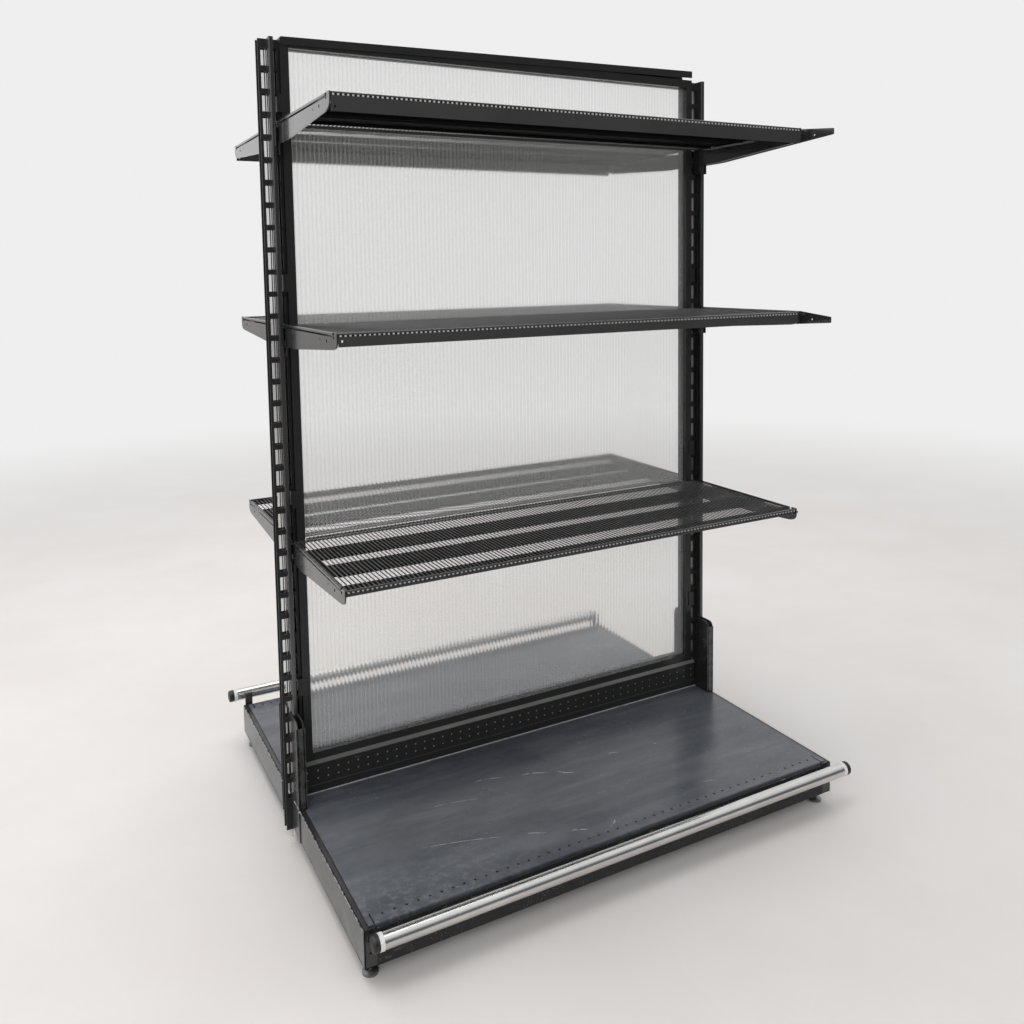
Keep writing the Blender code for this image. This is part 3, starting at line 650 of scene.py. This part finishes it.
def armPin():
    # Short metal pin through the right front horn of the low shelf, turned about X
    r, cut, first, last = pin["radius"], pin["cut"], pin["from"], pin["to"]
    centre = (0, -(bay["stripFace"] + pin["u"]), bay["shelfTop"]["low"] + pin["v"])
    profile = [(first, 0), (first, r), (last - cut, r), (last, r - cut), (last, 0)]
    addPiece("arm_pin", [turned(profile, centre, 20)], footZinc, "arms_front_low", smooth=0.6)


for side in fronts:
    for level in bay["shelfTop"]:
        wireDeck(side, level)
        bandFolds(side, level)
        for hand in hands:
            shelfArm(side, level, hand)
for level in ("top", "middle"):
    spareArm(level)
armPin()
print("shelves made")


# Uprights and frame stiles

post = {"finT": 0.010, "finY": 0.039, "finRound": 0.0018, "half": 0.0235, "sheet": 0.0025, "foot": 0.030,
        "top": 1.865, "slotBase": 1.807, "pitch": 0.050, "slotH": 0.038, "slotW": 0.011, "slotIn": 0.0060,
        "count": 35, "bevel": 0.0004}


def upright(hand):
    # Web bar with rounded edges; strips front and back with two columns of slots left out of a grid of x and height
    q, x = post, hands[hand] * bay["postX"]
    section = roundedBar(q["finT"], 2 * q["finY"], q["finRound"], 4)
    web = bars([(x, 0, q["foot"])], [(x, 0, q["top"])], section, (1, 0, 0))
    addPiece(f"upright_web_{hand}", [web], postPaint, "frame", [f"upright_{hand}"], smooth=0.6)
    across = np.array((q["slotIn"], q["slotIn"] + q["slotW"], q["half"]))
    low = q["slotBase"] - q["pitch"] * np.arange(q["count"])[::-1]
    rows = np.stack((low, low + q["slotH"]), 1).ravel()
    ss = np.concatenate(((q["foot"],), rows, (q["top"],)))
    gone = np.zeros((5, len(ss) - 1), bool)
    gone[[1, 3], 1::2] = True
    parts = []
    for f in (-1, 1):
        xs = x + f * np.concatenate((-across[::-1], across))
        face = f * bay["stripFace"]
        parts.append(perforated(xs, ss, np.zeros_like(gone), 0, lambda t: (np.full_like(t, face), t), gone))
    addPiece(f"upright_strips_{hand}", parts, stripPaint, "frame", thick=q["sheet"],
             bevel=q["bevel"])


stileShape = {"out": 0.5787, "inner": 0.5597, "halfY": 0.0195, "groove": 0.0053, "grooveD": 0.008, "low": 0.187,
              "top": 1.869, "clipSlots": (2, 10, 20, 29), "clipH": 0.041, "clipOn": 0.009, "clipOver": 0.011,
              "clipT": 0.0025, "bite": 0.0005, "clear": 0.0003,
              "oval": (0.0085, 0.0042, 0.0006), "ovalOut": 0.001, "ovalT": 0.001, "ovalEdge": 0.0001,
              "bevel": 0.0006}


def stile(hand):
    # Grooved frame bar carried upward, with clips that step over to the slotted strip and an oval boss on each
    q, s = stileShape, hands[hand]
    o, i, h, g, deep = q["out"], q["inner"], q["halfY"], q["groove"], q["inner"] + q["grooveD"]
    section = np.array([(i, -h), (o, -h), (o, h), (i, h), (i, g), (deep, g), (deep, -g), (i, -g)])
    parts = [bars([(0, 0, q["low"])], [(0, 0, q["top"])], section, (s, 0, 0))]
    first, last, face = o - q["clipOn"], o + q["clipOver"], bay["stripFace"] + q["clear"]
    over = np.array([(first, h - q["bite"]), (o - q["bite"], h - q["bite"]), (o - q["bite"], face), (last, face),
                     (last, h + q["clipT"]), (first, h + q["clipT"])])
    ring = np.arange(6)
    wall = np.stack((ring, (ring + 1) % 6, (ring + 1) % 6 + 6, ring + 6), -1)
    w, t, proud = q["oval"]
    oval = roundedBar(w, t, t / 2 - q["ovalEdge"], 5)
    for f in (-1, 1):
        for k in q["clipSlots"]:
            mid = post["slotBase"] + post["slotH"] / 2 - post["pitch"] * k
            low = np.stack((s * over[:, 0], f * over[:, 1], np.full(6, mid - q["clipH"] / 2)), -1)
            parts.append((np.concatenate((low, low + (0, 0, q["clipH"]))), [ring[None], ring[None] + 6, wall]))

            def place(u, v):
                y = f * (h + q["clipT"] + proud)
                return np.stack((s * (o + q["ovalOut"]) + u, np.full_like(u, y), mid + v), -1)

            parts.append(slab(oval, [], place, (0, -f * q["ovalT"], 0)))
    addPiece(f"frame_stile_{hand}", parts, paint, "frame", [f"stile_{hand}"], bevel=q["bevel"])


for hand in hands:
    upright(hand)
    stile(hand)
print("uprights made")


# Back panel

def ribbedSheet():
    # Sheet whose two faces swell between the webs, carried round a loop of four corners:
    # y = +-(halfT - swell * (1 + cos(2 pi (x + shift) / pitch)))
    p = panelLook
    count = round(2 * p["halfX"] / p["pitch"]) * p["samples"]
    xs = np.linspace(-p["halfX"], p["halfX"], count + 1)
    face = p["halfT"] - p["swell"] * (1 + np.cos(2 * math.pi * (xs + p["shift"]) / p["pitch"]))
    loop = [(-1, p["z0"]), (-1, p["z1"]), (1, p["z1"]), (1, p["z0"])]
    points = np.stack([np.stack((xs, s * face, np.full_like(xs, z)), -1) for s, z in loop], 1)
    index = np.arange(len(xs) * 4).reshape(-1, 4)
    a, b = index[:-1], index[1:]
    sides = np.stack((a, b, np.roll(b, -1, 1), np.roll(a, -1, 1)), -1).reshape(-1, 4)
    addPiece("ribbed_panel", [(points.reshape(-1, 3), [sides, index[:1], index[-1:, ::-1]])], sheetClear, "frame",
             ["back_panel"], smooth=0.5)


ribbedSheet()
print("panel made")


# Base

foot = {"rear": 0.00955, "low": 0.032, "top": 0.1085, "front": 0.5245, "armTop": 0.319, "armFront": 0.079,
        "round": 0.014, "wallIn": 0.0053, "wall": 0.003, "flange": 0.011, "flangeRound": 0.0008, "turnIn": 0.026,
        "sheet": 0.0025, "edge": 0.0006, "hole": 0.0024, "holeZ": 0.062,
        "saddleW": 0.020, "saddleH": 0.016, "saddleD": 0.0037, "weld": 0.0002}


def baseFoot(side, hand):
    # Side plate with inward flanges; its rounded arm and an inner plate straddle the upright behind a front flange
    q, f, s = foot, fronts[side], hands[hand]
    rear, front, low, top = q["rear"], q["front"], q["low"], q["top"]
    armFront, armTop, wide = q["armFront"], q["armTop"], q["turnIn"]
    turn = np.linspace(0, math.pi / 2, 7)
    corner = np.stack((armFront - q["round"] * (1 - np.cos(turn)), armTop - q["round"] * (1 - np.sin(turn))), -1)
    armEnd = [tuple(c) for c in corner] + [(rear, armTop)]
    outer = [(rear, low), (front, low), (front, top), (armFront, top)] + armEnd
    inner = [(rear, low), (armFront, low)] + armEnd

    def sideAt(x):
        return lambda u, v: np.stack((np.full_like(u, s * x), f * u, v), -1)

    def bar(x, y0, z0, y1, z1, outline):
        return bars([(s * x, f * y0, z0)], [(s * x, f * y1, z1)], outline, (1, 0, 0))

    parts = [slab(outer, [], sideAt(bay["postX"] + q["wallIn"]), (s * q["wall"], 0, 0)),
             slab(inner, [], sideAt(bay["postX"] - q["wallIn"]), (-s * q["wall"], 0, 0))]
    edge = bay["postX"] + q["wallIn"] + q["wall"]
    y = armFront - q["wall"] / 2
    flange = roundedBar(2 * q["flange"], q["wall"], q["flangeRound"])
    parts.append(bar(bay["postX"], y, low, y, armTop - q["round"], flange))
    fold = roundedBar(wide, q["sheet"], q["edge"])
    for z in (top - q["sheet"] / 2, low + q["sheet"] / 2):
        parts.append(bar(edge - wide / 2, armFront, z, front, z, fold))
    end = [(edge - wide, low), (edge, low), (edge, top), (edge - wide, top)]
    holes = [circle(q["hole"], 12) + (edge - wide / 2, q["holeZ"])]
    parts.append(slab(end, holes, lambda u, v: np.stack((s * u, np.full_like(u, f * front), v), -1),
                      (0, -f * q["sheet"], 0)))
    lo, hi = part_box(f"bumper_{side}")
    mid = (lo.z + hi.z) / 2
    y = front + q["saddleD"] / 2 - q["weld"]
    z0 = min(mid, top - q["saddleH"]) - q["saddleH"] / 2
    saddle = roundedBar(q["saddleW"], q["saddleD"], q["edge"])
    parts.append(bar(edge - wide + q["saddleW"] / 2, y, z0, y, mid + q["saddleH"] / 2, saddle))
    addPiece(f"foot_plate_{side}_{hand}", parts, platePaint, "frame", [f"base_foot_{side}_{hand}"],
             bevel=q["edge"])


# rearBend and frontBend: corners as (out from the rear or front edge, up from the top)
sheet = {"half": 0.590, "frontY": 0.517, "top": 0.1113, "thick": 0.0016, "lip": 0.020, "wide": 0.5985,
         "wideFrom": 0.0825, "rearBend": [(0.0006, 0.0020), (0.0006, 0.0006), (0.0016, 0)],
         "frontBend": [(-0.0025, 0), (-0.0007, -0.0007), (0, -0.0025)], "rows": (0.16, 0.24, 0.32),
         "holePitch": 0.025, "holeR": 0.0028, "rowBack": 0.022, "slotX": (0.5850, 0.5880), "slotBack": 0.030,
         "spareX": 0.002}


def baseSheet(side):
    # Deck sheet: section of upturned rear edge, flat top, folded front lip; a row of holes behind the front edge
    d, f = sheet, fronts[side]
    z = d["top"]
    section = [(bay["deckRear"] + y, z + v) for y, v in d["rearBend"]]
    section += [(d["frontY"] + y, z + v) for y, v in d["frontBend"]] + [(d["frontY"], z - d["lip"])]
    marks, curve = bent(section)
    frontS, cell = marks[3], d["holePitch"] / 2
    rowS, slotS = frontS - d["rowBack"], frontS - d["slotBack"]
    wideS = marks[2] + d["wideFrom"] - section[2][0]
    ss = np.concatenate((marks, d["rows"], (wideS, slotS, rowS - cell, rowS + cell)))
    ss = np.unique(ss.round(6))
    count = int(2 * (d["slotX"][0] - d["spareX"]) / d["holePitch"])
    inside = (np.arange(count + 1) - count / 2) * d["holePitch"]
    outside = np.array(d["slotX"] + (d["half"], d["wide"]))
    xs = np.concatenate((-outside[::-1], inside, outside))
    holes = np.zeros((len(xs) - 1, len(ss) - 1), bool)
    row = np.searchsorted(ss, rowS) - 1
    holes[4:-4, row] = True
    gone = np.zeros_like(holes)
    cut = np.searchsorted(ss, slotS + 1e-6) - 1
    gone[[2, -3], cut:] = True
    gone[[0, -1], :np.searchsorted(ss, wideS - 1e-6)] = True
    gone[np.ix_([0, 1, -2, -1], np.arange(len(ss) - 1) >= np.searchsorted(ss, marks[4] - 1e-6))] = True
    points, faces = perforated(xs, ss, holes, d["holeR"], curve, gone)
    points[:, 1] *= f
    if f < 0:
        faces = [np.asarray(g)[:, ::-1] for g in faces]
    addPiece(f"deck_sheet_{side}", [(points, faces)], deckPaint, f"base_deck_{side}", [f"base_deck_{side}"],
             thick=d["thick"])


strip = {"half": 0.588, "thick": 0.0012, "pitch": 0.025, "holeR": 0.0022, "rows": (0.1640, 0.1455), "cell": 0.0085,
         "section": [(0.0198, 0.1895), (0.0262, 0.1826), (0.0262, 0.1812), (0.0240, 0.1796), (0.0240, 0.1310),
                     (0.0251, 0.1298), (0.0251, 0.1285), (0.0232, 0.1270), (0.0232, 0.1116)],
         "backingY": 0.0214, "backing": (0.0008, 0.034, 0.0002)}


def plinthStrip(side):
    # Perforated strip behind the deck: sloped shoulder, face with two rows of holes, small bead, set-back foot,
    # and a grey strip behind the holes that paints them lighter, painted light for the lit inside of the frame
    d, f = strip, fronts[side]
    marks, curve = bent(d["section"])
    rows = [marks[3] + d["section"][3][1] - z for z in d["rows"]]
    ss = np.unique(np.concatenate((marks, [r + e * d["cell"] for r in rows for e in (-1, 1)])).round(6))
    count = int(2 * d["half"] / d["pitch"])
    xs = (np.arange(count + 1) - count / 2) * d["pitch"]
    xs = np.concatenate(((-d["half"],), xs, (d["half"],)))
    holes = np.zeros((len(xs) - 1, len(ss) - 1), bool)
    for r in rows:
        holes[1:-1, np.searchsorted(ss, r) - 1] = True
    points, faces = perforated(xs, ss, holes, d["holeR"], curve)
    points[:, 1] *= f
    if f < 0:
        faces = [np.asarray(g)[:, ::-1] for g in faces]
    addPiece(f"plinth_strip_{side}", [(points, faces)], plinthPaint, "frame", [f"plinth_{side}"],
             thick=d["thick"])
    # grey strip behind the holes: painted light seen through them
    y, z = f * d["backingY"], sum(d["rows"]) / 2
    backing = bars([(-d["half"], y, z)], [(d["half"], y, z)], roundedBar(*d["backing"]), (0, 1, 0))
    addPiece(f"plinth_hole_light_{side}", [backing], deckPaint, "frame")


# ring and plug: profiles as (out from the tube's end, radius)
tube = {"radius": 0.016, "wall": 0.0015, "edge": 0.0004,
        "ring": [(-0.0090, 0.0158), (-0.0085, 0.01665), (-0.0004, 0.01665), (0, 0.01625), (0, 0.0158),
                 (-0.0090, 0.0158)],
        "plug": [(-0.018, 0), (-0.018, 0.0141), (0.0003, 0.0141), (0.0003, 0.0154), (0.0010, 0.0160),
                 (0.0052, 0.0160), (0.0058, 0.0153), (0.0066, 0.0153), (0.0072, 0.0160), (0.01036, 0.0160),
                 (0.01232, 0.0151), (0.01358, 0.0132), (0.0140, 0.0105), (0.0134, 0.0088), (0.0128, 0)]}


def bumperTube(side):
    # Round tube, a pale ring at each end and a shouldered plastic cap, all turned about X
    t = tube
    lo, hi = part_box(f"bumper_{side}")
    centre = (0, (lo.y + hi.y) / 2, (lo.z + hi.z) / 2)
    r, w, e = t["radius"], t["radius"] - t["wall"], t["edge"]
    profile = [(lo.x, w), (lo.x, r - e), (lo.x + e, r), (hi.x - e, r), (hi.x, r - e), (hi.x, w), (lo.x, w)]
    addPiece(f"bumper_tube_{side}", [turned(profile, centre, 56)], tubeSteel, "frame", [f"bumper_{side}"],
             smooth=0.6)
    for hand, s in hands.items():
        end = hi.x if s > 0 else lo.x
        ring, plug = [[(end + s * out, radius) for out, radius in t[key]][::s] for key in ("ring", "plug")]
        addPiece(f"bumper_ring_{side}_{hand}", [turned(ring, centre)], ringPlastic, "frame",
                 smooth=0.6)
        addPiece(f"bumper_plug_{side}_{hand}", [turned(plug, centre)], capPlastic, "frame",
                 [f"bumper_cap_{side}_{hand}"], smooth=0.6)


for side in fronts:
    for hand in hands:
        baseFoot(side, hand)
    baseSheet(side)
    plinthStrip(side)
    bumperTube(side)
print("base made")


# Finishes for the pieces that stay as they are in the frame

def dress(names, material):
    for name in names:
        slots = nodes[name].data.materials
        slots.clear()
        slots.append(material)


dress(["rail_top", "rail_bottom", "top_cap"], paint)
dress([f"bands_{s}_{l}" for s in fronts for l in bay["shelfTop"]], shadedBandPaint)
dress([f"kick_{s}" for s in fronts], kickPaint)
dress([f"leveller_{s}_{h}" for s in fronts for h in hands], footZinc)
dress([f"leveller_post_{h}" for h in hands], padPlastic)
print("frame dressed")


# Floor, light and camera

stage = {"size": 30.0, "colour": (0.84, 0.795, 0.765), "pale": (0.88, 0.85, 0.83),
         "backdrop": (0.86, 0.86, 0.86), "room": (0.13, 0.135, 0.14), "ceiling": (1.0, 1.0, 1.0),
         "sky": (0.97, 0.985, 1.0), "ambient": 0.60, "fade": (2.2, 6.5), "roomFrom": (-2.0, -0.9), "roomShare": 0.8}


def rayIs(start, *kinds):
    # 1 for rays of the given kinds
    node = start.make("ShaderNodeLightPath").socket.node
    total = sum([Val(start.tree, node.outputs[kind]) for kind in kinds], 0.0)
    return total.math("MINIMUM", total, 1.0)


def makeFloor():
    # Pale floor that fades into the backdrop far away; mirrored rays find it dim in front of the object
    n = stage["size"]
    mesh = bpy.data.meshes.new("floor")
    mesh.from_pydata([(-n, -n, 0), (n, -n, 0), (n, n, 0), (-n, n, 0)], [], [(0, 1, 2, 3)])
    floor = bpy.data.objects.new("floor", mesh)
    bpy.context.scene.collection.objects.link(floor)
    mat, shader, place, (_, y, _) = finish("floorPale", {"Roughness": 0.7, "Specular IOR Level": 0.2})
    cloud = noise(place, 1.6, 6, 0.6)
    link(shader, "Base Color", cloud.step(0.3, 0.75).mix(stage["colour"], stage["pale"]))
    away = place.make("ShaderNodeVectorMath", {"operation": "LENGTH"}, {0: place}, 1)
    glow = place.make("ShaderNodeEmission", {}, {"Color": (*stage["backdrop"], 1), "Strength": 1.0})
    fade = away.step(*stage["fade"]) * rayIs(place, "Is Camera Ray", "Is Transmission Ray")
    body = Val(mat.node_tree, shader.outputs[0])
    both = place.make("ShaderNodeMixShader", {}, {0: fade, 1: body, 2: glow})
    dim = place.make("ShaderNodeEmission", {}, {"Color": (*stage["room"], 1), "Strength": 1.0})
    far = (1 - y.step(*stage["roomFrom"])) * rayIs(place, "Is Glossy Ray") * stage["roomShare"]
    both = place.make("ShaderNodeMixShader", {}, {0: far, 1: both, 2: dim})
    mat.node_tree.links.new(both.socket, mat.node_tree.nodes["Material Output"].inputs[0])
    mesh.materials.append(mat)


def makeWorld():
    # Pale behind the object; mirrored rays find a bright wall at the back, a bright ceiling and a dim room in front
    world = bpy.data.worlds.new("studio")
    bpy.context.scene.world = world
    world.use_nodes = True
    tree = world.node_tree
    start = Val(tree, None)
    way = start.make("ShaderNodeTexCoord", out=0)
    y, z = [start.make("ShaderNodeSeparateXYZ", {}, {0: way}, k) for k in (1, 2)]
    wall = y.step(-0.45, 0.20).mix(stage["room"], stage["backdrop"])
    mirrored = z.step(0.28, 0.78).mix(wall, stage["ceiling"])
    lit = start.make("ShaderNodeBackground", {}, {"Color": (*stage["sky"], 1), "Strength": stage["ambient"]})
    gloss = start.make("ShaderNodeBackground", {}, {"Color": mirrored, "Strength": 1.0})
    shown = start.make("ShaderNodeBackground", {}, {"Color": (*stage["backdrop"], 1), "Strength": 1.0})
    both = start.make("ShaderNodeMixShader", {}, {0: rayIs(start, "Is Glossy Ray"), 1: lit, 2: gloss})
    seen = rayIs(start, "Is Camera Ray", "Is Transmission Ray")
    both = start.make("ShaderNodeMixShader", {}, {0: seen, 1: both, 2: shown})
    tree.links.new(both.socket, tree.nodes["World Output"].inputs[0])


def makeLamp(name, place, aim, size, power):
    light = bpy.data.lights.new(name, "AREA")
    light.shape, light.size, light.size_y, light.energy = "RECTANGLE", size[0], size[1], power
    lamp = bpy.data.objects.new(name, light)
    lamp.location = place
    lamp.rotation_euler = (Vector(aim) - Vector(place)).to_track_quat("-Z", "Y").to_euler()
    bpy.context.scene.collection.objects.link(lamp)


makeFloor()
makeWorld()
makeLamp("overhead", (-0.6, 0.5, 4.2), (0, 0, 0.6), (4.0, 4.0), 100)
makeLamp("frontFill", (-2.8, -3.4, 2.6), (0, 0, 0.8), (2.5, 2.5), 34)

# View found by fitting the photograph: place, turn from +Y towards +X, tilt down, roll, focal length in pixels
view = {"place": (-1.1195, -2.1066, 1.3485), "yaw": 0.4901, "down": 0.0870, "roll": -0.0150, "focal": 921.74,
        "middle": (512, 350), "frame": 1024, "sensor": 36.0}


def makeCamera():
    v = view
    level, tilt = (math.sin(v["yaw"]), math.cos(v["yaw"])), math.cos(v["down"])
    ahead = Vector((level[0] * tilt, level[1] * tilt, -math.sin(v["down"])))
    right = Vector((level[1], -level[0], 0))
    up = right.cross(ahead)
    c, s = math.cos(v["roll"]), math.sin(v["roll"])
    right, up = c * right + s * up, c * up - s * right
    data = bpy.data.cameras.new("camera")
    data.sensor_width = v["sensor"]
    data.lens = v["focal"] * v["sensor"] / v["frame"]
    data.shift_x = (v["frame"] / 2 - v["middle"][0]) / v["frame"]
    data.shift_y = (v["middle"][1] - v["frame"] / 2) / v["frame"]
    camera = bpy.data.objects.new("camera", data)
    camera.matrix_world = Matrix.Translation(v["place"]) @ Matrix((right, up, -ahead)).transposed().to_4x4()
    bpy.context.scene.collection.objects.link(camera)
    bpy.context.scene.camera = camera


makeCamera()
bpy.context.scene.view_settings.view_transform = "Standard"
print("stage set")
